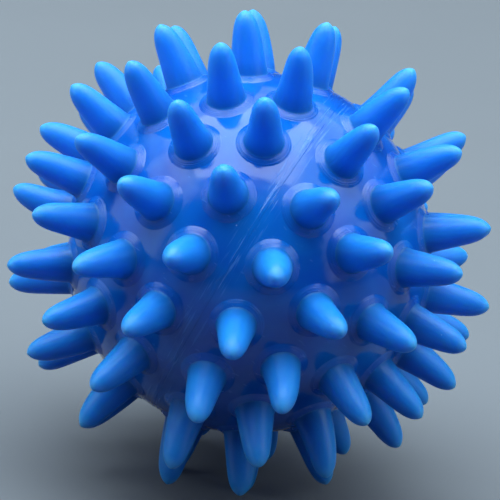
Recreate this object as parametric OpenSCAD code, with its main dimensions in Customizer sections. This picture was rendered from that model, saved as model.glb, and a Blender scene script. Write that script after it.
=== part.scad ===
// Spiky sensory ball: a hollow soft-plastic ball of two welded halves,
// with rows of tapered spikes on low collars and an air valve on the hidden side.
// Millimetres, +Z up, origin on the surface that the ball stands on, under its centre.
// Directions on the ball are given by latitude from the weld line and longitude along it.

/* [Skin] */
// Outside diameter of the hollow ball, without spikes
shell_d = 66; // [50:0.5:110]
// Wall of the skin
wall = 2.6; // [1.6:0.1:4]

/* [Spikes] */
// Diameter of a spike at its root
spike_root_d = 6.9; // [4:0.1:8]
// Length of a spike from its collar to its tip
spike_len = 11.3; // [6:0.1:18]
// Share of the root's width that is lost along the length
spike_taper = 0.42; // [0.2:0.01:0.7]
// Bluntness of the nose: a higher power keeps the cone straight for longer
nose_power = 8; // [4:1:14]
// Point of the nose: 0.5 closes it as a dome, and more draws it to a finer point
nose_point = 0.65; // [0.5:0.05:0.9]
// Bands along a spike's profile
spike_bands = 12; // [8:1:20]

/* [Collars] */
// Ledge of the collar that shows round a spike's root
collar_ledge = 1.25; // [0.6:0.05:1.6]
// Height of the collar's seat above the skin, on the spike's axis
collar_h = 0.45; // [0.3:0.05:1]
// Fall of the ledge from the spike's root to the collar's rim
collar_fall = 0.6; // [0.1:0.05:0.7]
// Rounding of the collar's rim
collar_round = 0.16; // [0.1:0.02:0.3]

/* [Rows] */
// Spikes in each row of a half, from the weld line to the pole
row_count = [17, 15, 11, 6]; // [5:1:20]
// Latitude of each row
row_lat = [11.3, 30, 50.5, 71]; // [10:0.1:80]
// Longitude of the first spike in each row of the north half
north_turn = [0, 5, -3, -26]; // [-60:0.5:60]
// Longitude of the first spike in each row of the south half
south_turn = [-11.5, 2, -3, -34]; // [-60:0.5:60]

/* [Weld line] */
// Width of the raised bead on the skin
seam_w = 0.9; // [0.5:0.1:1.6]
// Height of the bead over the skin
seam_h = 0.15; // [0.1:0.05:0.6]
// Width of the bead's flat crown
seam_crown_w = 0.36; // [0.1:0.02:0.45]
// Depth of the groove that the bead fills
seam_depth = 0.6; // [0.3:0.1:1.2]

/* [Valve] */
// Row of the south half where the valve takes a spike's place
valve_row = 2; // [1:1:4]
// Place of the valve in that row
valve_index = 8; // [0:1:14]
// Diameter of the plug's stem
plug_d = 3.6; // [2.4:0.1:4.2]
// Length of the plug's stem
plug_len = 8.4; // [5:0.1:12]
// Diameter of the plug's head
plug_head_d = 6.4; // [5:0.1:7.4]
// Height of the plug's head
plug_head_h = 1.3; // [0.9:0.1:2.5]
// Flat at the crown of the plug's head
plug_crown_d = 3.2; // [1:0.1:4]
// Bevel under the rim of the plug's head, for a fingernail
plug_lip = 0.3; // [0.1:0.05:0.4]
// Lead-in chamfer at the end of the plug's stem
plug_lead = 0.6; // [0.2:0.1:1]
// Wall of the sleeve round the stem
sleeve_wall = 1.2; // [0.8:0.1:1.6]
// Length of the sleeve under its flange
sleeve_len = 9; // [6:0.1:14]
// Thickness of the sleeve's flange
flange_h = 0.7; // [0.5:0.1:1.5]
// Radial clearance of the stem in the sleeve
plug_clear = 0.05; // [0.02:0.01:0.08]
// Radial clearance of the sleeve in the skin's hole
sleeve_clear = 0.05; // [0.02:0.01:0.2]

/* [Hidden] */

$fn = 64;
north = 1;
south = -1;
shell_r = shell_d / 2;
inner_r = shell_r - wall;
collar_top = shell_r + collar_h;
collar_r = spike_root_d / 2 + collar_ledge;
flange_r = (spike_root_d + collar_ledge) / 2;
groove_r = shell_r - seam_depth;
seam_edge_r = sqrt(shell_r * shell_r - seam_w * seam_w / 4);
bore_r = plug_d / 2 + plug_clear;
sleeve_r = bore_r + sleeve_wall;
flange_top = collar_top + flange_h;
rows = [0:len(row_count) - 1];

// Colours
skin_blue = [0.10, 0.36, 0.80];
spike_blue = [0.05, 0.38, 0.88];
plug_blue = [0.07, 0.30, 0.72];

// Unit vector at a latitude and longitude on the ball
function on_ball(lat, lon) = [cos(lat) * cos(lon), cos(lat) * sin(lon), sin(lat)];

// Longitude of spike i in a row of one half
function spike_lon(half, row, i) =
    (half == north ? north_turn[row] : south_turn[row]) + i * 360 / row_count[row];

function spike_axis(half, row, i) = on_ball(half * row_lat[row], spike_lon(half, row, i));

function is_valve(half, row, i) = half == south && row == valve_row - 1 && i == valve_index;

// Radius of a spike at a share t of its length: a cone that closes in a blunt nose
function spike_r(t) = spike_root_d / 2 * (1 - spike_taper * t) * pow(1 - pow(t, nose_power), nose_point);

// Share of the length at band k, closer together towards the tip
function band(k) = 1 - pow(1 - k / spike_bands, 2);

// The ball stands on the tips of these three north spikes, [row, place in the row]
rest_on = [[0, 5], [1, 4], [1, 5]];
rest_axis = [for (s = rest_on) spike_axis(north, s[0], s[1])];
rest_normal = cross(rest_axis[1] - rest_axis[0], rest_axis[2] - rest_axis[0]);
rest_down = rest_normal * sign(rest_normal * rest_axis[0]) / norm(rest_normal);
rest_lean = rest_down * rest_axis[0];

// Height of the ball's centre over the surface that the three tips stand on
rest_h = max([
    for (k = [0:spike_bands])
        (collar_top + spike_len * band(k)) * rest_lean + spike_r(band(k)) * sqrt(1 - rest_lean * rest_lean)
]);

// Axes of the standing ball: longitude 0 of the weld line faces the front, -Y
up_axis = -rest_down;
front_flat = [1, 0, 0] - up_axis[0] * up_axis;
front_axis = front_flat / norm(front_flat);
side_axis = cross(-front_axis, up_axis);
stand = [
    [side_axis[0], side_axis[1], side_axis[2], 0],
    [-front_axis[0], -front_axis[1], -front_axis[2], 0],
    [up_axis[0], up_axis[1], up_axis[2], rest_h],
    [0, 0, 0, 1],
];

// Turns the moulded ball, centre at the origin and weld line level, to the way it stands
module standing() {
    multmatrix(stand) children();
}

// Points a shape that is drawn along +Z out of the ball at a latitude and longitude
module outward(lat, lon) {
    rotate([0, 90 - lat, lon]) children();
}

// Repeats a shape at the spikes of one row, without the valve's place
module along_row(half, row) {
    for (i = [0:row_count[row] - 1])
        if (!is_valve(half, row, i))
            outward(half * row_lat[row], spike_lon(half, row, i)) children();
}

// Points a shape out of the ball at the valve
module at_valve() {
    row = valve_row - 1;
    outward(south * row_lat[row], spike_lon(south, row, valve_index)) children();
}

// One spike on its collar's seat
module spike() {
    profile = [for (k = [0:spike_bands]) [spike_r(band(k)), collar_top + spike_len * band(k)]];
    rotate_extrude() polygon(concat([[0, collar_top]], profile));
}

// Low collar on the skin, rooted in the wall: a flat seat, a ledge that falls away from it and a round rim
module collar(seat_r) {
    root = shell_r - wall / 2;
    rim_h = collar_top - collar_fall;
    rim = [
        for (a = [0:45:90])
            [collar_r - collar_round * (1 - cos(a)), rim_h - collar_round * (1 - sin(a))]
    ];
    rotate_extrude() polygon(concat([[0, root], [collar_r, root]], rim, [[seat_r, collar_top], [0, collar_top]]));
}

// Section of the bead: a wedge that fills the groove, with a low crown over the skin
module seam_section() {
    polygon([
        [groove_r, 0], [seam_edge_r, -seam_w / 2], [shell_r + seam_h, -seam_crown_w / 2],
        [shell_r + seam_h, seam_crown_w / 2], [seam_edge_r, seam_w / 2],
    ]);
}

// Wedge that cuts the groove, running on past the skin
module groove_section() {
    run = 2;
    wide = run * seam_w / 2;
    far = groove_r + run * (seam_edge_r - groove_r);
    polygon([[groove_r, 0], [far, -wide], [far, wide]]);
}

// One hollow half of the skin with its collars
module half_shell(half) {
    reach = 2 * collar_top;
    difference() {
        union() {
            intersection() {
                sphere(r = shell_r, $fn = 160);
                translate([-reach, -reach, half == north ? 0 : -reach]) cube([2 * reach, 2 * reach, reach]);
            }
            for (row = rows) along_row(half, row) collar(spike_root_d / 2);
            outward(half * 90, 0) collar(spike_root_d / 2);
            if (half == south) at_valve() collar(flange_r);
        }
        sphere(r = inner_r, $fn = 160);
        rotate_extrude($fn = 160) groove_section();
        if (half == south) at_valve() cylinder(r = sleeve_r + sleeve_clear, h = reach);
    }
}

module north_half_shell() {
    color(skin_blue) standing() half_shell(north);
}

module south_half_shell() {
    color(skin_blue) standing() half_shell(south);
}

module seam_bead() {
    color(skin_blue) standing() rotate_extrude($fn = 160) seam_section();
}

module spike_row(half, row) {
    color(spike_blue) standing() along_row(half, row) spike();
}

module pole_spike(half) {
    color(spike_blue) standing() outward(half * 90, 0) spike();
}

// Flanged sleeve in the skin, bored through for the plug
module valve_seat() {
    color(skin_blue) standing() at_valve() rotate_extrude() polygon([
        [bore_r, collar_top - sleeve_len], [sleeve_r, collar_top - sleeve_len], [sleeve_r, collar_top],
        [flange_r, collar_top], [flange_r, flange_top], [bore_r, flange_top],
    ]);
}

// Plug with a chamfered stem and a low crowned head, undercut for a fingernail
module valve_plug() {
    stem_r = plug_d / 2;
    head_r = plug_head_d / 2;
    stem_end = flange_top - plug_len;
    head_top = flange_top + plug_head_h;
    rim_top = (flange_top + head_top) / 2;
    color(plug_blue) standing() at_valve() rotate_extrude() polygon([
        [0, stem_end], [stem_r - plug_lead, stem_end], [stem_r, stem_end + plug_lead],
        [stem_r, flange_top], [head_r - plug_lip, flange_top], [head_r, flange_top + plug_lip],
        [head_r, rim_top], [plug_crown_d / 2, head_top], [0, head_top],
    ]);
}

north_half_shell();
south_half_shell();
seam_bead();
for (row = rows)
    spike_row(north, row);
pole_spike(north);  // north_pole_spike
for (row = rows)
    spike_row(south, row);
pole_spike(south);  // south_pole_spike
valve_seat();
valve_plug();
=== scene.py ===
"""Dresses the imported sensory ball: glossy welded skin, satin spikes on collars and the air valve.

Every piece is modelled in metres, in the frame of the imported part, and rides on one of its bodies.
"""

import logging
import math
import random
from collections.abc import Iterable, Sequence
from dataclasses import dataclass, field
from enum import Enum

import bmesh
import bpy
from mathutils import Matrix, Vector, noise


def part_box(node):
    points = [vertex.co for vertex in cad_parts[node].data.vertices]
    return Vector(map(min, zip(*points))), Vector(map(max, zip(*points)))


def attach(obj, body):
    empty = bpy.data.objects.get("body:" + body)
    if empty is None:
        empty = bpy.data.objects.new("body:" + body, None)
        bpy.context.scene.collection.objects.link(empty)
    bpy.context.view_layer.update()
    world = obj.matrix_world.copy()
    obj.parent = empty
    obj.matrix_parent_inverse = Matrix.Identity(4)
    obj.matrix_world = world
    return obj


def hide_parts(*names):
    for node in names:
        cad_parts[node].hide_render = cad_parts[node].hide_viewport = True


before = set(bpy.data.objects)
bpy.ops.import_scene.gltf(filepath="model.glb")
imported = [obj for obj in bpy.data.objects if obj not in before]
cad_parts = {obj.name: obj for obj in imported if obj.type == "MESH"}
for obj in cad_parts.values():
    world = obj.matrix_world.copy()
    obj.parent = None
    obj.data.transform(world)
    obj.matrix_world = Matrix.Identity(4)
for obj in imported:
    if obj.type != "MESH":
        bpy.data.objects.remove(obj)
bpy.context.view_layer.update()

LOG = logging.getLogger("sensory_ball")
MM = 0.001

# Values that most of a noise lies between.
NOISE_RANGE = (0.3, 0.7)
# Points of a spun solid that are nearer than this, in millimetres, are one point.
SAME_POINT = 0.0005
# How near a point has to be to a rim, in millimetres, to be on it.
ON_RIM = 0.002

Pair = tuple[float, float]
Triple = tuple[float, float, float]
Colour = Triple
Profile = Sequence[Pair]
Socket = bpy.types.NodeSocket
Solid = bmesh.types.BMesh


class Half(Enum):
    """The two moulded halves of the ball, by the sign of their latitude."""

    NORTH = 1
    SOUTH = -1


class Body(Enum):
    """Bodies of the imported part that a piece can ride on."""

    BALL = "ball"
    PLUG = "plug"


class Slot(Enum):
    """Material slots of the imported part."""

    SKIN = "skin"
    SPIKE = "spike"
    PLUG = "plug"


class Join(Enum):
    """Ways to put two solids together."""

    UNION = "UNION"
    DIFFERENCE = "DIFFERENCE"


@dataclass(frozen=True)
class Place:
    """Place of a spike: its half, its row counted from the weld line, and its number along that row."""

    half: Half
    row: int
    number: int

    def label(self) -> str:
        """Words that tell the place from all others, for its random draws."""
        return f"{self.half.name} {self.row} {self.number}"


@dataclass(frozen=True)
class PhotoCamera:
    """Camera of the photograph, in degrees, millimetres and pixels of a 500 by 500 picture."""

    azimuth: float = 3.13
    elevation: float = 20.0
    roll: float = 6.79
    distance: float = 524.3
    lens: float = 207.0
    sensor: float = 36.0
    picture: int = 500
    ball_at: Pair = (249.3, 252.2)
    clip_start: float = 10.0

    def axes(self) -> tuple[Vector, Vector, Vector]:
        """Works out the directions of the picture in the part's frame.

        Returns:
            Unit vectors to the picture's right, to its top, and back towards the camera.
        """
        turn = math.radians(self.azimuth)
        rise = math.radians(self.elevation)
        level = math.cos(rise)
        back = Vector((math.sin(turn) * level, -math.cos(turn) * level, math.sin(rise)))
        right = Vector((0.0, 0.0, 1.0)).cross(back).normalized()
        lean = Matrix.Rotation(math.radians(self.roll), 3, back)
        return lean @ right, lean @ back.cross(right), back

    def build(self, centre: Vector) -> None:
        """Makes the camera and gives it to the scene.

        Args:
            centre: Centre of the ball.
        """
        right, up, back = self.axes()
        pixel = self.distance * MM * self.sensor / (self.lens * self.picture)
        middle = self.picture / 2
        slide = right * (middle - self.ball_at[0]) + up * (self.ball_at[1] - middle)
        data = bpy.data.cameras.new("photo_camera")
        data.lens = self.lens
        data.sensor_width = self.sensor
        data.clip_start = self.clip_start * MM
        camera = bpy.data.objects.new("photo_camera", data)
        turn = Matrix((right, up, back)).transposed().to_4x4()
        spot = centre + back * self.distance * MM + slide * pixel
        camera.matrix_world = Matrix.Translation(spot) @ turn
        bpy.context.scene.collection.objects.link(camera)
        bpy.context.scene.camera = camera


@dataclass(frozen=True)
class BallLayout:
    """Places of the spikes and the way the ball stands, with the values of the part's source.

    Angles are in degrees. The last row is the single spike on the pole.
    """

    counts: tuple[int, ...] = (17, 15, 11, 6, 1)
    latitudes: tuple[float, ...] = (11.3, 30.0, 50.5, 71.0, 90.0)
    north_turn: tuple[float, ...] = (0.0, 5.0, -3.0, -26.0, 0.0)
    south_turn: tuple[float, ...] = (-11.5, 2.0, -3.0, -34.0, 0.0)
    rest_on: tuple[Place, ...] = (
        Place(Half.NORTH, 0, 5),
        Place(Half.NORTH, 1, 4),
        Place(Half.NORTH, 1, 5),
    )
    valve: Place = Place(Half.SOUTH, 1, 8)

    def outward(self, place: Place) -> Matrix:
        """Turns a shape that is drawn along +Z out of the unturned ball.

        Args:
            place: Where the shape points.

        Returns:
            The turn, about the centre of the ball.
        """
        starts = self.north_turn if place.half is Half.NORTH else self.south_turn
        longitude = starts[place.row] + place.number * 360.0 / self.counts[place.row]
        latitude = place.half.value * self.latitudes[place.row]
        swing = Matrix.Rotation(math.radians(longitude), 4, "Z")
        return swing @ Matrix.Rotation(math.radians(90.0 - latitude), 4, "Y")

    def centre(self) -> Vector:
        """Centre of the ball, which is the middle of its weld line."""
        low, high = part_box("seam_bead")
        return (low + high) / 2

    def standing(self) -> Matrix:
        """Turns and lifts the unturned ball to the way it stands on three tips.

        Returns:
            The move from the unturned ball to the part's frame.
        """
        first, second, third = (self.outward(place).col[2].to_3d() for place in self.rest_on)
        normal = (second - first).cross(third - first).normalized()
        up = -normal if normal.dot(first) > 0 else normal
        front = (Vector((1.0, 0.0, 0.0)) - up.x * up).normalized()
        turn = Matrix(((-front).cross(up), -front, up)).to_4x4()
        return Matrix.Translation(self.centre()) @ turn

    def seat(self, place: Place) -> Matrix:
        """Move from a shape drawn along +Z to its place on the standing ball."""
        return self.standing() @ self.outward(place)

    def row(self, half: Half, row: int) -> list[Place]:
        """Lists the spikes of a row, without the place that the valve takes.

        Args:
            half: Half that the row is on.
            row: Number of the row, counted from the weld line.

        Returns:
            The places of the row's spikes.
        """
        places = [Place(half, row, number) for number in range(self.counts[row])]
        return [place for place in places if place != self.valve]


@dataclass(frozen=True)
class Dust:
    """Round specks: cells to the metre, radius as a share of a cell, and share of the cells with one."""

    colour: Colour
    scale: float
    size: float
    share: float
    core: float = 0.6
    strength: float = 0.7


class NodeGraph:
    """Nodes of one new material, with short calls for the ones that the finishes share."""

    def __init__(self, name: str) -> None:
        """Starts a material with its plain surface shader.

        Args:
            name: Name of the material.
        """
        self.material = bpy.data.materials.new(name)
        self.material.use_nodes = True
        self.tree = self.material.node_tree
        self.shader = self.tree.nodes["Principled BSDF"]

    def add(
        self, kind: str, settings: dict | None = None, values: dict | None = None
    ) -> bpy.types.Node:
        """Adds a node.

        Args:
            kind: Blender's name of the node type.
            settings: Properties of the node.
            values: Inputs by name or number; a socket is linked and anything else is set.

        Returns:
            The new node.
        """
        node = self.tree.nodes.new(kind)
        for key, value in (settings or {}).items():
            setattr(node, key, value)
        for key, value in (values or {}).items():
            self.feed(node.inputs[key], value)
        return node

    def feed(self, target: Socket, value: object) -> None:
        """Links a socket to an input, or sets the input.

        Args:
            target: Input to feed.
            value: Socket to link, or the value to set.
        """
        if isinstance(value, Socket):
            self.tree.links.new(value, target)
        else:
            target.default_value = value

    def surface(self, **values: object) -> None:
        """Feeds the surface shader.

        Args:
            values: Inputs by name, with an underscore for each space.
        """
        for key, value in values.items():
            if isinstance(value, tuple) and len(value) == 3 and "Radius" not in key:
                value = (*value, 1.0)
            self.feed(self.shader.inputs[key.replace("_", " ")], value)

    def position(self) -> Socket:
        """Position on the piece, in metres."""
        return self.add("ShaderNodeTexCoord").outputs["Object"]

    def attribute(self, name: str, output: str = "Fac") -> Socket:
        """Value that the points of the mesh carry under a name."""
        return self.add("ShaderNodeAttribute", {"attribute_name": name}).outputs[output]

    def moved(self, move: Matrix) -> Socket:
        """Position as it was before a move, so that a pattern follows what was moved.

        Args:
            move: Move that placed the piece.

        Returns:
            The position before the move.
        """
        values = {
            "Vector": self.position(),
            "Location": move.to_translation(),
            "Rotation": move.to_euler(),
        }
        return self.add("ShaderNodeMapping", {"vector_type": "TEXTURE"}, values).outputs["Vector"]

    def stretched(self, vector: Socket, scale: Triple, turn: Triple = (0.0, 0.0, 0.0)) -> Socket:
        """Position in uneven cells to the metre, turned in radians, for patterns with streaks."""
        values = {"Vector": vector, "Rotation": turn, "Scale": scale}
        return self.add("ShaderNodeMapping", None, values).outputs["Vector"]

    def noise(
        self, vector: Socket, scale: float = 1.0, detail: float = 2.0, distortion: float = 0.0
    ) -> Socket:
        """Noise of about 0.5 on average, with a number of cells to each unit of the position."""
        values = {"Vector": vector, "Scale": scale, "Detail": detail, "Distortion": distortion}
        return self.add("ShaderNodeTexNoise", None, values).outputs["Fac"]

    def maths(self, operation: str, first: object, second: object = 0.0) -> Socket:
        """Result of one of Blender's operations on one or two sockets or numbers."""
        return self.add("ShaderNodeMath", {"operation": operation}, {0: first, 1: second}).outputs[0]

    def times(self, first: object, second: object) -> Socket:
        """Product of two sockets or numbers."""
        return self.maths("MULTIPLY", first, second)

    def span(
        self, value: object, start: float, end: float, low: float = 0.0, high: float = 1.0
    ) -> Socket:
        """Eases a number from one range to another.

        Args:
            value: Number to change.
            start: Where the change starts.
            end: Where it ends.
            low: Result up to the start.
            high: Result past the end.

        Returns:
            The eased number.
        """
        settings = {"interpolation_type": "SMOOTHSTEP"}
        values = {"Value": value, "From Min": start, "From Max": end, "To Min": low, "To Max": high}
        return self.add("ShaderNodeMapRange", settings, values).outputs["Result"]

    def blend(self, share: object, first: object, second: object) -> Socket:
        """Mixes two colours.

        Args:
            share: Share of the second colour.
            first: First socket or colour.
            second: Second socket or colour.

        Returns:
            The mixed colour.
        """
        pair = [(*end, 1.0) if isinstance(end, tuple) else end for end in (first, second)]
        node = self.add("ShaderNodeMix", {"data_type": "RGBA"}, {0: share, 6: pair[0], 7: pair[1]})
        return node.outputs[2]

    def washed(self, base: Socket, colour: Colour, mask: Socket, strength: float) -> Socket:
        """Lays a colour over another where a mask is."""
        return self.blend(self.times(mask, strength), base, colour)

    def dusted(self, base: Socket, vector: Socket, dust: Dust) -> Socket:
        """Scatters small round specks over a colour.

        Args:
            base: Colour under the specks.
            vector: Where they are read.
            dust: What they look like.

        Returns:
            The dusted colour.
        """
        cells = self.add("ShaderNodeTexVoronoi", None, {"Vector": vector, "Scale": dust.scale})
        spot = self.span(cells.outputs["Distance"], dust.size * dust.core, dust.size, 1.0, 0.0)
        lots = self.add("ShaderNodeSeparateColor", None, {"Color": cells.outputs["Color"]})
        chosen = self.maths("GREATER_THAN", lots.outputs[0], 1.0 - dust.share)
        return self.washed(base, dust.colour, self.times(spot, chosen), dust.strength)

    def bump(self, height: Socket, depth: float, under: Socket | None = None) -> Socket:
        """Adds a relief.

        Args:
            height: Height as a share of the depth.
            depth: Depth of the relief in millimetres.
            under: Relief that this one lies on.

        Returns:
            The bent normal.
        """
        values = {"Height": height, "Distance": depth * MM, "Strength": 1.0}
        if under is not None:
            values["Normal"] = under
        return self.add("ShaderNodeBump", None, values).outputs["Normal"]


@dataclass(frozen=True)
class GlossSkin:
    """Glossy soft plastic, clouded and dusty, with scuffs, trimming marks and turning marks.

    Heights and depths are in millimetres, scales in cells to the metre.
    """

    deep: Colour = (0.001, 0.092, 0.56)
    clear: Colour = (0.002, 0.143, 0.63)
    cloud_scale: float = 95.0
    cloud_bend: float = 0.4
    scuffed: Colour = (0.070, 0.280, 0.86)
    scuff_scale: Triple = (90.0, 1300.0, 500.0)
    scuff_turn: Triple = (0.5, 0.9, 0.3)
    scuff_range: Pair = (0.70, 0.80)
    scuff_share: float = 0.6
    strip_scale: Triple = (150.0, 150.0, 2900.0)
    trim_range: Pair = (0.56, 0.67)
    trim_reach: Pair = (0.4, 3.4)
    mark_tint: float = 0.55
    mark_rough: float = 0.20
    mark_depth: float = 0.02
    dust: Dust = Dust((0.30, 0.48, 0.86), 330.0, 0.055, 0.16)
    gloss: Pair = (0.05, 0.13)
    smear_scale: float = 240.0
    smear_range: Pair = (0.35, 0.75)
    collar_start: Pair = (33.03, 33.15)
    collar_rough: float = 0.17
    grain_scale: float = 420.0
    grain_depth: float = 0.006
    strip_coarse: float = 1.6
    strip_depth: float = 0.013
    ring_scale: Pair = (11000.0, 90.0)
    ring_range: Pair = (0.38, 0.62)
    ring_depth: float = 0.024
    specular: float = 0.43
    inner_share: float = 0.10
    inner_radius: Triple = (0.2, 0.6, 1.0)
    inner_scale: float = 1.2

    def marks(self, graph: NodeGraph, spot: Socket, strip: Socket, height: Socket) -> Socket:
        """Draws the trimming marks beside the weld line and the scuffs all over.

        Args:
            graph: Nodes of the material.
            spot: Position on the unturned ball.
            strip: The same, stretched to streaks along the weld line.
            height: Height over the weld plane.

        Returns:
            1 on a mark and 0 off it.
        """
        start, end = (reach * MM for reach in self.trim_reach)
        near = graph.span(graph.maths("ABSOLUTE", height), start, end, 1.0, 0.0)
        trims = graph.times(graph.span(graph.noise(strip), *self.trim_range), near)
        drawn = graph.stretched(spot, self.scuff_scale, self.scuff_turn)
        scuffs = graph.span(graph.noise(drawn, detail=1.0), *self.scuff_range)
        return graph.maths("MAXIMUM", trims, graph.times(scuffs, self.scuff_share))

    def material(self, name: str, layout: BallLayout) -> bpy.types.Material:
        """Makes the material.

        Args:
            name: Name of the material.
            layout: Layout that says where the weld line runs.

        Returns:
            The material.
        """
        graph = NodeGraph(name)
        spot = graph.moved(layout.standing())
        strip = graph.stretched(spot, self.strip_scale)
        height = graph.add("ShaderNodeSeparateXYZ", None, {"Vector": spot}).outputs["Z"]
        raised = graph.add("ShaderNodeVectorMath", {"operation": "LENGTH"}, {0: spot}).outputs["Value"]
        collars = graph.span(raised, *(radius * MM for radius in self.collar_start))
        marks = self.marks(graph, spot, strip, height)
        cloud = graph.noise(spot, self.cloud_scale, detail=3.0, distortion=self.cloud_bend)
        base = graph.blend(graph.span(cloud, *NOISE_RANGE), self.deep, self.clear)
        base = graph.washed(base, self.scuffed, marks, self.mark_tint)
        smear = graph.noise(spot, self.smear_scale, detail=4.0)
        rough = graph.span(smear, *self.smear_range, *self.gloss)
        rough = graph.maths("ADD", rough, graph.times(collars, self.collar_rough))
        rough = graph.maths("ADD", rough, graph.times(marks, self.mark_rough))
        relief = graph.bump(graph.noise(spot, self.grain_scale), self.grain_depth)
        plain = graph.maths("SUBTRACT", 1.0, collars)
        strips = graph.times(graph.noise(strip, self.strip_coarse, detail=3.0), plain)
        relief = graph.bump(strips, self.strip_depth, relief)
        relief = graph.bump(marks, self.mark_depth, relief)
        turned = graph.add("ShaderNodeCombineXYZ", None, {
            "X": graph.times(raised, self.ring_scale[0]),
            "Y": graph.times(height, self.ring_scale[1]),
        }).outputs["Vector"]
        rings = graph.span(graph.noise(turned, detail=1.0), *self.ring_range)
        relief = graph.bump(graph.times(rings, collars), self.ring_depth, relief)
        graph.surface(
            Base_Color=graph.dusted(base, spot, self.dust),
            Roughness=rough,
            Normal=relief,
            Specular_IOR_Level=self.specular,
            Subsurface_Weight=self.inner_share,
            Subsurface_Radius=self.inner_radius,
            Subsurface_Scale=self.inner_scale * MM,
        )
        return graph.material


@dataclass(frozen=True)
class SatinSpike:
    """Satin soft plastic, with painted shade deeper at the root, a painted glow paler towards the tip
    and a painted highlight on the tip; fine grain, draw marks with painted pale highlight streaks near
    the root, and specks.

    Depths are in millimetres, scales in cells to the metre, and places along a spike are shares of it.
    """

    # Root colour: its deeper blue is painted shade, where the neighbouring spikes shade the roots.
    low: Colour = (0.001, 0.112, 0.45)
    # Tip colour: its paler blue is a painted glow, light seen through the thin tip; the pale draw
    # streaks take it too.
    tip: Colour = (0.010, 0.245, 0.82)
    tip_glow_range: Pair = (-0.15, 0.50)
    # Painted highlight: a pale spot at the very tip.
    tip_highlight: Colour = (0.050, 0.315, 0.95)
    tip_highlight_range: Pair = (0.84, 1.0)
    grain_scale: float = 420.0
    grain_drift: float = 0.16
    satin: Pair = (0.38, 0.48)
    draw_scale: Triple = (1100.0, 1100.0, 60.0)
    # Pale streaks along the root: the draw marks are real relief, and their pale colour is a painted
    # highlight.
    draw_highlight_range: Pair = (0.60, 0.74)
    draw_highlight_share: float = 0.30
    draw_highlight_end: float = 0.7
    draw_depth: float = 0.012
    dust: Dust = Dust((0.25, 0.50, 0.90), 300.0, 0.045, 0.10)
    pore_scale: float = 1900.0
    pore_depth: float = 0.010
    ring_turn: float = 190.0
    ring_depth: float = 0.0025
    specular: float = 0.32
    sheen: float = 0.05
    sheen_rough: float = 0.30
    sheen_tint: Colour = (0.40, 0.70, 1.0)
    inner_share: Pair = (0.20, 0.80)
    inner_end: float = 0.16
    inner_radius: Triple = (0.2, 0.8, 1.0)
    inner_scale: float = 5.0

    def material(self, name: str) -> bpy.types.Material:
        """Makes the material.

        Args:
            name: Name of the material.

        Returns:
            The material.
        """
        graph = NodeGraph(name)
        spot = graph.position()
        along = graph.attribute("along")
        grain = graph.noise(spot, self.grain_scale, detail=4.0)
        wander = graph.maths("ADD", along, graph.times(grain, self.grain_drift))
        # Painted shade and glow: the colour runs from deeper at the root to paler towards the tip.
        base = graph.blend(graph.span(wander, *self.tip_glow_range), self.low, self.tip)
        # Painted highlight at the very tip.
        base = graph.blend(graph.span(along, *self.tip_highlight_range), base, self.tip_highlight)
        shaded = {"Color": base, "Value": graph.attribute("shade")}
        tone = graph.add("ShaderNodeHueSaturation", None, shaded).outputs["Color"]
        draws = graph.noise(graph.stretched(graph.attribute("own", "Vector"), self.draw_scale))
        # Painted highlight: pale streaks along the draw marks, fading from the root towards the tip.
        fade = graph.span(along, 0.0, self.draw_highlight_end, self.draw_highlight_share, 0.0)
        draw_highlights = graph.times(graph.span(draws, *self.draw_highlight_range), fade)
        base = graph.blend(draw_highlights, tone, self.tip)
        relief = graph.bump(graph.noise(spot, self.pore_scale), self.pore_depth)
        rings = graph.maths("SINE", graph.times(along, self.ring_turn))
        relief = graph.bump(rings, self.ring_depth, relief)
        relief = graph.bump(draws, self.draw_depth, relief)
        graph.surface(
            Base_Color=graph.dusted(base, spot, self.dust),
            Roughness=graph.span(grain, *NOISE_RANGE, *self.satin),
            Normal=relief,
            Specular_IOR_Level=self.specular,
            Sheen_Weight=self.sheen,
            Sheen_Roughness=self.sheen_rough,
            Sheen_Tint=self.sheen_tint,
            Subsurface_Weight=graph.span(along, 0.0, self.inner_end, *self.inner_share),
            Subsurface_Radius=self.inner_radius,
            Subsurface_Scale=self.inner_scale * MM,
        )
        return graph.material


@dataclass(frozen=True)
class GlossPlug:
    """Harder glossy plastic of the plug, with handling marks; depths in millimetres."""

    deep: Colour = (0.003, 0.085, 0.46)
    clear: Colour = (0.006, 0.120, 0.56)
    cloud_scale: float = 380.0
    worn: Colour = (0.05, 0.22, 0.70)
    mark_scale: Triple = (500.0, 4200.0, 2600.0)
    mark_turn: Triple = (0.2, 0.7, 1.1)
    mark_range: Pair = (0.66, 0.78)
    mark_tint: float = 0.4
    mark_depth: float = 0.01
    pore_scale: float = 2200.0
    pore_depth: float = 0.006
    gloss: Pair = (0.18, 0.32)
    specular: float = 0.55

    def material(self, name: str) -> bpy.types.Material:
        """Makes the material.

        Args:
            name: Name of the material.

        Returns:
            The material.
        """
        graph = NodeGraph(name)
        spot = graph.position()
        cloud = graph.noise(spot, self.cloud_scale, detail=3.0)
        scratch = graph.stretched(spot, self.mark_scale, self.mark_turn)
        marks = graph.span(graph.noise(scratch, detail=1.0), *self.mark_range)
        base = graph.blend(cloud, self.deep, self.clear)
        pores = graph.bump(graph.noise(spot, self.pore_scale), self.pore_depth)
        graph.surface(
            Base_Color=graph.washed(base, self.worn, marks, self.mark_tint),
            Roughness=graph.span(cloud, *NOISE_RANGE, *self.gloss),
            Normal=graph.bump(marks, self.mark_depth, pores),
            Specular_IOR_Level=self.specular,
        )
        return graph.material


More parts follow.
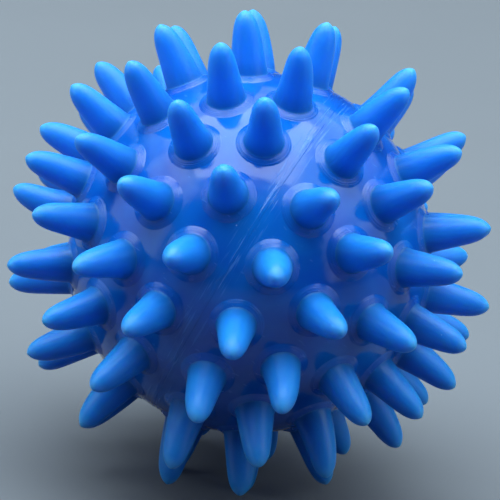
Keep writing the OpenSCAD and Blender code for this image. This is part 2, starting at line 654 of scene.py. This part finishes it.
@dataclass(frozen=True)
class PaleFloor:
    """Matt, faintly mottled floor: pale where it is seen or mirrored, quiet in the light it returns."""

    pale: tuple[Colour, Colour] = ((0.158, 0.172, 0.202), (0.171, 0.186, 0.217))
    quiet: Colour = (0.06, 0.06, 0.07)
    mottle_scale: float = 14.0
    rough: float = 0.85
    specular: float = 0.2

    def material(self, name: str) -> bpy.types.Material:
        """Makes the material.

        Args:
            name: Name of the material.

        Returns:
            The material.
        """
        graph = NodeGraph(name)
        mottle = graph.noise(graph.position(), self.mottle_scale, detail=4.0)
        rays = graph.add("ShaderNodeLightPath").outputs
        seen = graph.maths("MAXIMUM", rays["Is Glossy Ray"], rays["Is Transmission Ray"])
        seen = graph.maths("MAXIMUM", seen, rays["Is Camera Ray"])
        colour = graph.blend(seen, self.quiet, graph.blend(mottle, *self.pale))
        graph.surface(Base_Color=colour, Roughness=self.rough, Specular_IOR_Level=self.specular)
        return graph.material


def spun(profile: Profile, segments: int, ring: bool = False) -> Solid:
    """Spins a profile about +Z to a closed solid.

    Args:
        profile: Radius and height of each point in millimetres, in order.
        segments: Steps of the full turn.
        ring: Joins the last point to the first, for a solid that is open along the axis.

    Returns:
        The solid in metres.
    """
    solid = bmesh.new()
    points = [solid.verts.new((radius * MM, 0.0, height * MM)) for radius, height in profile]
    pairs = list(zip(points, points[1:]))
    if ring:
        pairs.append((points[-1], points[0]))
    edges = [solid.edges.new(pair) for pair in pairs]
    bmesh.ops.spin(
        solid,
        geom=[*points, *edges],
        cent=(0.0, 0.0, 0.0),
        axis=(0.0, 0.0, 1.0),
        angle=math.tau,
        steps=segments,
        use_merge=True,
    )
    bmesh.ops.remove_doubles(solid, verts=solid.verts, dist=SAME_POINT * MM)
    bmesh.ops.recalc_face_normals(solid, faces=solid.faces)
    return solid


def round_rim(solid: Solid, rim: Pair, size: float, steps: int) -> None:
    """Rounds a circular edge of a spun solid.

    Args:
        solid: Solid to change.
        rim: Radius and height of the edge in millimetres.
        size: Width of the round in millimetres.
        steps: Segments across the round.
    """
    near = ON_RIM * MM
    on_rim = {
        vert
        for vert in solid.verts
        if abs(vert.co.xy.length - rim[0] * MM) < near and abs(vert.co.z - rim[1] * MM) < near
    }
    edges = [edge for edge in solid.edges if on_rim.issuperset(edge.verts)]
    bmesh.ops.bevel(
        solid,
        geom=edges,
        offset=size * MM,
        offset_type="OFFSET",
        segments=steps,
        profile=0.5,
        affect="EDGES",
        material=-1,
    )


def kept(solid: Solid, name: str) -> bpy.types.Mesh:
    """Turns a solid to a mesh and lets the solid go.

    Args:
        solid: Solid to turn.
        name: Name of the mesh.

    Returns:
        The mesh.
    """
    mesh = bpy.data.meshes.new(name)
    solid.to_mesh(mesh)
    solid.free()
    return mesh


def gather(group: Solid, template: bpy.types.Mesh, moves: Iterable[Matrix]) -> None:
    """Repeats a mesh at several places in one solid.

    Args:
        group: Solid that takes the copies.
        template: Mesh to repeat.
        moves: Move to each place.
    """
    for move in moves:
        before = len(group.verts)
        group.from_mesh(template)
        group.verts.ensure_lookup_table()
        bmesh.ops.transform(group, matrix=move, verts=group.verts[before:])


def combined(base: Solid, steps: Iterable[tuple[Join, Solid]]) -> Solid:
    """Joins solids to another and cuts solids out of it, and lets them all go.

    Args:
        base: Solid to start from.
        steps: What is done with each further solid, in order.

    Returns:
        The result.
    """
    link = bpy.context.scene.collection.objects.link
    work = bpy.data.objects.new("work", kept(base, "work"))
    link(work)
    used = [work]
    for join, solid in steps:
        tool = bpy.data.objects.new("tool", kept(solid, "tool"))
        link(tool)
        used.append(tool)
        modifier = work.modifiers.new(join.name.lower(), "BOOLEAN")
        modifier.operation = join.value
        modifier.solver = "MANIFOLD"
        modifier.object = tool
    graph = bpy.context.evaluated_depsgraph_get()
    meshes = [bpy.data.meshes.new_from_object(work.evaluated_get(graph))]
    result = bmesh.new()
    result.from_mesh(meshes[0])
    for done in used:
        meshes.append(done.data)
        bpy.data.objects.remove(done)
    for mesh in meshes:
        bpy.data.meshes.remove(mesh)
    return result


def place_piece(
    mesh: bpy.types.Mesh,
    material: bpy.types.Material,
    body: Body,
    node: str,
    crease: float = 35.0,
) -> None:
    """Makes a finished piece of a mesh, in the place of a node.

    Args:
        mesh: Mesh in the part's frame; the piece takes its name.
        material: Material of the piece.
        body: Body that the piece rides on.
        node: Node that it stands for.
        crease: Angle in degrees past which an edge shades sharp.
    """
    mesh.materials.clear()
    mesh.materials.append(material)
    mesh.shade_smooth()
    mesh.set_sharp_from_angle(angle=math.radians(crease))
    piece = bpy.data.objects.new(mesh.name, mesh)
    bpy.context.scene.collection.objects.link(piece)
    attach(piece, body.value)
    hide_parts(node)
    LOG.info("%s: %d faces, rides on %s", piece.name, len(mesh.polygons), body.value)


@dataclass
class HalfShell:
    """One hollow half of the skin with the collars that its spikes stand on, in millimetres."""

    half: Half
    layout: BallLayout
    outer_r: float = 33.0
    wall: float = 2.6
    groove_w: float = 0.9
    groove_depth: float = 0.6
    collar_top: float = 33.45
    collar_side: tuple[Pair, ...] = (
        (4.43, 0.235),
        (4.57, 0.165),
        (4.69, 0.085),
        (4.82, 0.030),
        (4.95, -0.028),
        (5.08, -0.100),
    )
    seat_r: float = 3.45
    valve_seat_r: float = 4.075
    valve_hole_r: float = 3.1
    cutter_over: float = 2.0
    ripple: float = 0.045
    ripple_length: float = 15.0
    ripple_fade: float = 3.0
    outside: float = 0.05
    sliver: float = 0.002
    crease: float = 15.0
    segments: int = 208
    outer_bands: int = 64
    inner_bands: int = 16
    collar_segments: int = 56
    hole_segments: int = 48

    def has_valve(self) -> bool:
        """Whether the valve is on this half."""
        return self.half is self.layout.valve.half

    def section(self) -> list[Pair]:
        """Draws the half's section from the outer pole, round the joint face, to the inner pole.

        Returns:
            Radius and height of each point.
        """
        inner_r = self.outer_r - self.wall
        lip = math.asin(self.groove_w / 2 / self.outer_r)
        drop = (math.pi / 2 - lip) / self.outer_bands
        climb = math.pi / 2 / self.inner_bands
        outer = [math.pi / 2 - drop * step for step in range(self.outer_bands + 1)]
        inner = [climb * step for step in range(self.inner_bands + 1)]
        points = [(self.outer_r * math.cos(angle), self.outer_r * math.sin(angle)) for angle in outer]
        points.append((self.outer_r - self.groove_depth, 0.0))
        points.extend((inner_r * math.cos(angle), inner_r * math.sin(angle)) for angle in inner)
        return [(max(radius, 0.0), height * self.half.value) for radius, height in points]

    def skin(self) -> Solid:
        """Spins the hollow half and lets its outside ripple a little, as a moulded skin does.

        Returns:
            The hollow half, unturned.
        """
        solid = spun(self.section(), self.segments)
        for vert in solid.verts:
            if vert.co.length < (self.outer_r - self.outside) * MM:
                continue
            past_groove = max(0.0, abs(vert.co.z) / MM - self.groove_w / 2)
            fade = min(1.0, past_groove / self.ripple_fade)
            wave = noise.noise(vert.co / (self.ripple_length * MM))
            vert.co += vert.co.normalized() * wave * fade * self.ripple * MM
        return solid

    def collar(self, seat_r: float) -> Solid:
        """Spins one collar: a flat seat, a ledge that falls away, a soft rim and a foot in the skin.

        Args:
            seat_r: Radius of the seat.

        Returns:
            The collar, along +Z.
        """
        root = self.outer_r - self.wall / 2
        profile = [(0.0, self.collar_top), (seat_r, self.collar_top)]
        for radius, rise in self.collar_side:
            profile.append((radius, math.sqrt(self.outer_r**2 - radius**2) + rise))
        profile.extend([(profile[-1][0], root), (0.0, root)])
        return spun(profile, self.collar_segments)

    def spread(self, group: Solid, seat_r: float, places: Iterable[Place]) -> None:
        """Adds one kind of collar at several places.

        Args:
            group: Solid that takes the collars.
            seat_r: Radius of their seats.
            places: Where they are.
        """
        template = kept(self.collar(seat_r), "collar")
        gather(group, template, (self.layout.outward(place) for place in places))
        bpy.data.meshes.remove(template)

    def collars(self) -> Solid:
        """Puts a collar under every spike, and the valve's own one in its place.

        Returns:
            The collars, unturned.
        """
        group = bmesh.new()
        rows = range(len(self.layout.counts))
        places = [place for row in rows for place in self.layout.row(self.half, row)]
        self.spread(group, self.seat_r, places)
        if self.has_valve():
            self.spread(group, self.valve_seat_r, [self.layout.valve])
        return group

    def hole(self) -> Solid:
        """Spins the cutter for the valve's hole.

        Returns:
            The cutter, unturned.
        """
        top = self.collar_top + self.cutter_over
        low = self.outer_r - self.wall - self.cutter_over
        section = [(0.0, low), (self.valve_hole_r, low), (self.valve_hole_r, top), (0.0, top)]
        solid = spun(section, self.hole_segments)
        bmesh.ops.transform(solid, matrix=self.layout.outward(self.layout.valve), verts=solid.verts)
        return solid

    def build(self, material: bpy.types.Material) -> None:
        """Joins the collars to the half, cuts the valve's hole and stands the half up.

        Args:
            material: Finish of the skin.
        """
        steps = [(Join.UNION, self.collars())]
        if self.has_valve():
            steps.append((Join.DIFFERENCE, self.hole()))
        solid = combined(self.skin(), steps)
        bmesh.ops.remove_doubles(solid, verts=solid.verts, dist=self.sliver * MM)
        bmesh.ops.dissolve_degenerate(solid, dist=self.sliver * MM, edges=solid.edges)
        side = self.half.name.lower()
        mesh = kept(solid, f"{side}_skin")
        mesh.transform(self.layout.standing())
        place_piece(mesh, material, Body.BALL, f"{side}_half_shell", self.crease)


@dataclass
class WeldBead:
    """Raised line where the two halves are welded and trimmed, in millimetres.

    It wanders across the line, coarsely and finely, and its height swings about a share of the crown.
    """

    layout: BallLayout
    skin_r: float = 33.0
    groove_depth: float = 0.6
    width: float = 0.9
    crown: tuple[Pair, ...] = (
        (-0.36, 0.03),
        (-0.25, 0.06),
        (-0.11, 0.045),
        (0.03, 0.06),
        (0.15, 0.04),
        (0.27, 0.07),
        (0.37, 0.03),
    )
    crown_start: float = 0.02
    wander: float = 0.07
    wander_scales: Pair = (7.0, 31.0)
    wander_fine: float = 0.5
    ragged_scale: float = 23.0
    ragged_apart: float = 3.0
    height_share: float = 0.85
    height_swing: float = 0.9
    height_least: float = 0.25
    crease: float = 50.0
    segments: int = 420

    def uneven(self, spot: Vector) -> Vector:
        """Moves a point of the crown to where the uneven trimming leaves it.

        Args:
            spot: Point of the even crown, in metres.

        Returns:
            The moved point.
        """
        skin_r = self.skin_r * MM
        out = Vector((spot.x, spot.y, 0.0)).normalized()
        coarse, fine = (noise.noise(out * scale) for scale in self.wander_scales)
        drift = coarse + self.wander_fine * fine
        apart = Vector((0.0, 0.0, math.copysign(self.ragged_apart, spot.z)))
        ragged = noise.noise(out * self.ragged_scale + apart)
        share = max(self.height_least, self.height_share + self.height_swing * ragged)
        moved = out * (skin_r + (spot.xy.length - skin_r) * share)
        moved.z = spot.z + drift * self.wander * MM
        return moved

    def build(self, material: bpy.types.Material) -> None:
        """Spins the bead and makes its crown uneven along the line.

        Args:
            material: Finish of the skin.
        """
        edge_r = math.sqrt(self.skin_r**2 - self.width**2 / 4)
        section = [(self.skin_r - self.groove_depth, 0.0), (edge_r, -self.width / 2)]
        section.extend((self.skin_r + rise, across) for across, rise in self.crown)
        section.append((edge_r, self.width / 2))
        solid = spun(section, self.segments, ring=True)
        for vert in solid.verts:
            if vert.co.xy.length >= (self.skin_r + self.crown_start) * MM:
                vert.co = self.uneven(vert.co)
        mesh = kept(solid, "weld_bead")
        mesh.transform(self.layout.standing())
        place_piece(mesh, material, Body.BALL, "seam_bead", self.crease)


@dataclass
class SpikeRow:
    """One row of spikes, or the spike on a pole, in millimetres."""

    half: Half
    row: int
    layout: BallLayout
    camera: PhotoCamera
    leans: dict[Place, Pair] = field(default_factory=dict)
    seat: float = 33.45
    root_d: float = 6.9
    length: float = 11.3
    taper: float = 0.42
    nose_power: float = 8.0
    nose_point: float = 0.65
    fillet: float = 0.32
    fillet_dip: float = 0.02
    fillet_steps: int = 5
    ledge: Pair = (0.98, -0.514)
    sunk: float = 0.45
    slack: float = 0.28
    tones: Pair = (0.95, 1.05)
    crease: float = 60.0
    bands: int = 18
    segments: int = 32

    def radius(self, share: float) -> float:
        """Radius at a share of the length: a cone that closes in a blunt nose."""
        cone = self.root_d / 2 * (1 - self.taper * share)
        return cone * (1 - share**self.nose_power) ** self.nose_point

    def profile(self) -> list[Pair]:
        """Draws a spike's side, from inside its collar, up the soft fillet at its root, to its tip.

        Returns:
            Radius and height of each point.
        """
        corner = Vector((self.root_d / 2, self.seat))
        low = corner + Vector(self.ledge).normalized() * self.fillet - Vector((0.0, self.fillet_dip))
        high = Vector((self.radius(self.fillet / self.length), self.seat + self.fillet))
        points = [(0.0, self.seat - self.sunk), (low.x, self.seat - self.sunk)]
        for step in range(self.fillet_steps + 1):
            share = step / self.fillet_steps
            points.append(tuple(low.lerp(corner, share).lerp(corner.lerp(high, share), share)))
        for band in range(1, self.bands + 1):
            share = 1 - (1 - band / self.bands) ** 2
            points.append((self.radius(share), self.seat + self.length * share))
        return points

    def lean(self, place: Place) -> Vector:
        """Gives how far a spike's tip hangs to one side.

        Args:
            place: Place of the spike.

        Returns:
            The tip's shift in metres, in the part's frame.
        """
        if place in self.layout.rest_on:
            return Vector()
        right, up, _ = self.camera.axes()
        if place in self.leans:
            across, rise = self.leans[place]
            return (right * across + up * rise) * MM
        rng = random.Random(place.label())
        return Vector([rng.uniform(-self.slack, self.slack) for _ in range(3)]) * MM

    def spike(self) -> bpy.types.Mesh:
        """Spins one spike whose points carry their share of its length and their own place on it.

        Returns:
            The spike, along +Z.
        """
        solid = spun(self.profile(), self.segments)
        along = solid.verts.layers.float.new("along")
        solid.verts.layers.float.new("shade")
        own = solid.verts.layers.float_vector.new("own")
        for vert in solid.verts:
            vert[along] = min(1.0, max(0.0, (vert.co.z / MM - self.seat) / self.length))
            vert[own] = vert.co
        return kept(solid, "spike")

    def build(self, material: bpy.types.Material) -> None:
        """Repeats a spike along the row, and bends and shades each one a little.

        Args:
            material: Finish of the spikes.
        """
        template = self.spike()
        places = self.layout.row(self.half, self.row)
        moves = [self.layout.seat(place) for place in places]
        group = bmesh.new()
        gather(group, template, moves)
        each = len(template.vertices)
        bpy.data.meshes.remove(template)
        along = group.verts.layers.float["along"]
        shade = group.verts.layers.float["shade"]
        own = group.verts.layers.float_vector["own"]
        for index, (place, move) in enumerate(zip(places, moves)):
            tone = random.Random(f"tone {place.label()}").uniform(*self.tones)
            axis = move.col[2].to_3d()
            lean = self.lean(place)
            lean -= axis * lean.dot(axis)
            for vert in group.verts[index * each:(index + 1) * each]:
                share = vert[along]
                # A beam that is held at its root and pushed at its tip bends like this.
                vert.co += lean * share * share * (3.0 - share) / 2.0
                vert[shade] = tone
                vert[own] += Vector((0.0, 0.0, index * self.length * MM))
        side = self.half.name.lower()
        pole = self.row == len(self.layout.counts) - 1
        node = f"{side}_pole_spike" if pole else f"{side}_spikes_row_{self.row + 1}"
        mesh = kept(group, f"{side}_pole_satin" if pole else f"{side}_satin_row_{self.row + 1}")
        place_piece(mesh, material, Body.BALL, node, self.crease)


@dataclass
class AirValve:
    """Flanged sleeve in the skin, and the plug that is pulled out to pump the ball up; millimetres."""

    layout: BallLayout
    seat: float = 33.45
    bore_r: float = 1.85
    bore_round: float = 0.10
    bore_steps: int = 2
    sleeve_r: float = 3.05
    sleeve_len: float = 9.0
    flange_r: float = 4.075
    flange_h: float = 0.7
    flange_round: float = 0.25
    stem_d: float = 3.6
    stem_len: float = 8.4
    stem_lead: float = 0.6
    head_d: float = 6.4
    head_h: float = 1.3
    head_lip: float = 0.3
    head_round: float = 0.22
    crown_d: float = 3.2
    crown_round: float = 0.30
    dimple_d: float = 1.6
    dimple_depth: float = 0.25
    dimple_round: float = 0.10
    dimple_steps: int = 3
    round_steps: int = 4
    segments: int = 64

    def sleeve(self, material: bpy.types.Material) -> None:
        """Spins the sleeve with its round-edged flange.

        Args:
            material: Finish of the skin.
        """
        low = self.seat - self.sleeve_len
        top = self.seat + self.flange_h
        section = [
            (self.bore_r, low),
            (self.sleeve_r, low),
            (self.sleeve_r, self.seat),
            (self.flange_r, self.seat),
            (self.flange_r, top),
            (self.bore_r, top),
        ]
        solid = spun(section, self.segments, ring=True)
        round_rim(solid, (self.flange_r, top), self.flange_round, self.round_steps)
        round_rim(solid, (self.bore_r, top), self.bore_round, self.bore_steps)
        mesh = kept(solid, "valve_sleeve")
        mesh.transform(self.layout.seat(self.layout.valve))
        place_piece(mesh, material, Body.BALL, "valve_seat")

    def plug(self, material: bpy.types.Material) -> None:
        """Spins the plug: a chamfered stem, and a low head with an undercut rim and a dimple.

        Args:
            material: Finish of the plug.
        """
        seat = self.seat + self.flange_h
        end = seat - self.stem_len
        top = seat + self.head_h
        stem_r = self.stem_d / 2
        head_r = self.head_d / 2
        section = [
            (0.0, end),
            (stem_r - self.stem_lead, end),
            (stem_r, end + self.stem_lead),
            (stem_r, seat),
            (head_r - self.head_lip, seat),
            (head_r, seat + self.head_lip),
            (head_r, seat + self.head_h / 2),
            (self.crown_d / 2, top),
            (self.dimple_d / 2, top),
            (self.dimple_d / 4, top - self.dimple_depth),
            (0.0, top - self.dimple_depth),
        ]
        solid = spun(section, self.segments)
        round_rim(solid, (head_r, seat + self.head_h / 2), self.head_round, self.round_steps)
        round_rim(solid, (self.crown_d / 2, top), self.crown_round, self.round_steps)
        round_rim(solid, (self.dimple_d / 2, top), self.dimple_round, self.dimple_steps)
        mesh = kept(solid, "valve_stopper")
        mesh.transform(self.layout.seat(self.layout.valve))
        place_piece(mesh, material, Body.PLUG, "valve_plug")


@dataclass(frozen=True)
class Softbox:
    """One soft lamp that faces the ball, in metres, with the brightness of its face."""

    name: str
    at: Triple
    size: Pair
    glow: float
    over: bool = False
    colour: Colour = (0.86, 0.99, 1.0)

    def hang(self, aim: Vector) -> None:
        """Hangs the lamp.

        Args:
            aim: Point that it faces.
        """
        data = bpy.data.lights.new(self.name, "AREA")
        data.shape = "RECTANGLE"
        data.size, data.size_y = self.size
        data.energy = self.glow * math.pi * self.size[0] * self.size[1]
        data.color = self.colour
        lamp = bpy.data.objects.new(self.name, data)
        lamp.location = self.at
        lamp.rotation_euler = (aim - Vector(self.at)).to_track_quat("-Z", "Y").to_euler()
        lamp.visible_camera = False
        bpy.context.scene.collection.objects.link(lamp)


@dataclass
class Studio:
    """Pale floor under overhead softboxes, with weaker ones at both sides; metres."""

    aim: Vector
    floor_size: float = 6.0
    boxes: tuple[Softbox, ...] = (
        Softbox("overhead_outer", (0.0, 0.36, 0.84), (2.80, 2.00), 0.4, True),
        Softbox("overhead", (0.0, 0.38, 0.83), (2.40, 1.70), 0.5, True),
        Softbox("overhead_inner", (-0.04, 0.26, 0.82), (1.70, 1.20), 0.9, True),
        Softbox("overhead_hot", (-0.11, 0.06, 0.80), (0.88, 0.78), 3.8, True),
        Softbox("left", (-1.10, -0.25, 0.86), (1.00, 0.70), 1.3),
        Softbox("right", (1.10, -0.25, 0.86), (1.00, 0.70), 1.1),
        Softbox("left_low", (-1.30, -0.28, 0.34), (1.20, 0.56), 1.1),
        Softbox("right_low", (1.30, -0.28, 0.34), (1.20, 0.56), 0.9),
    )
    fill_colour: Colour = (0.80, 0.80, 0.90)
    fill: float = 0.055

    def floor(self) -> None:
        """Lays the floor, which isn't part of the ball."""
        solid = bmesh.new()
        bmesh.ops.create_grid(solid, x_segments=2, y_segments=2, size=self.floor_size / 2)
        mesh = kept(solid, "floor")
        mesh.materials.append(PaleFloor().material("pale_floor"))
        floor = bpy.data.objects.new("floor", mesh)
        bpy.context.scene.collection.objects.link(floor)

    def lights(self) -> None:
        """Hangs the softboxes and sets the weak fill from all round."""
        for box in self.boxes:
            below = Vector((box.at[0], box.at[1], 0.0))
            box.hang(below if box.over else self.aim)
        world = bpy.data.worlds.new("studio")
        world.use_nodes = True
        sky = world.node_tree.nodes["Background"]
        sky.inputs["Color"].default_value = (*self.fill_colour, 1.0)
        sky.inputs["Strength"].default_value = self.fill
        bpy.context.scene.world = world

    def build(self) -> None:
        """Makes the floor and the lights, and keeps colours as they are written."""
        self.floor()
        self.lights()
        bpy.context.scene.view_settings.view_transform = "Standard"


# Tips that hang to one side in the photograph, by half and row: millimetres to its right and up.
ROW_LEANS: dict[tuple[Half, int], dict[int, Pair]] = {
    (Half.NORTH, 0): {
        13: (-0.9, 0.3), 14: (0.0, -1.0), 16: (0.4, -0.6), 0: (-0.7, -0.8),
        1: (0.0, -0.3), 2: (0.8, 0.2), 3: (0.1, -1.8), 4: (1.4, 0.5),
    },
    (Half.SOUTH, 0): {
        14: (-0.5, 0.1), 15: (-1.2, 0.0), 16: (-0.7, 0.3), 0: (0.4, 0.6),
        1: (0.0, -0.5), 3: (0.0, 0.4), 4: (0.7, 0.0), 5: (0.0, 0.9),
    },
    (Half.NORTH, 1): {
        10: (0.2, 1.2), 11: (-0.6, 0.1), 12: (-0.1, -1.0), 14: (0.0, 0.3),
        0: (0.4, 0.1), 1: (-1.6, -0.1), 2: (0.2, 0.5), 3: (-0.1, 0.6),
    },
    (Half.SOUTH, 1): {
        11: (-1.1, 0.4), 12: (-0.6, 0.4), 13: (0.3, 0.2), 14: (0.3, 0.6),
        0: (-0.4, 0.1), 1: (-0.7, -1.0), 2: (0.1, 0.5), 3: (-0.1, 1.3),
    },
    (Half.NORTH, 2): {2: (-1.0, -1.3), 7: (0.2, 0.7), 8: (0.0, -0.8)},
    (Half.SOUTH, 2): {
        8: (0.0, 0.2), 9: (-0.6, 0.1), 10: (0.2, 0.6), 0: (0.1, -0.7),
        1: (0.4, -0.4), 2: (0.6, 0.4),
    },
    (Half.NORTH, 3): {5: (0.3, 0.0), 0: (0.0, -0.4), 2: (-0.7, -0.7)},
    (Half.SOUTH, 3): {
        5: (-0.3, 0.4), 0: (0.0, 0.4), 1: (-0.1, -0.4), 2: (0.4, 1.4),
    },
    (Half.NORTH, 4): {0: (-0.2, -0.9)},
    (Half.SOUTH, 4): {0: (-0.7, -0.6)},
}
PHOTO_LEANS: dict[Place, Pair] = {
    Place(half, row, number): lean
    for (half, row), leans in ROW_LEANS.items()
    for number, lean in leans.items()
}


def main() -> None:
    """Builds the scene: camera, skin, weld line, spikes, valve and studio."""
    logging.basicConfig(level=logging.INFO, format="%(name)s: %(message)s")
    layout = BallLayout()
    camera = PhotoCamera()
    camera.build(layout.centre())
    skin = GlossSkin().material("gloss_skin", layout)
    satin = SatinSpike().material("satin_spike")
    for half in Half:
        HalfShell(half, layout).build(skin)
    WeldBead(layout).build(skin)
    for half in Half:
        for row in range(len(layout.counts)):
            SpikeRow(half, row, layout, camera, PHOTO_LEANS).build(satin)
    valve = AirValve(layout)
    valve.sleeve(skin)
    valve.plug(GlossPlug().material("gloss_plug"))
    Studio(layout.centre()).build()


if __name__ == "__main__":
    main()
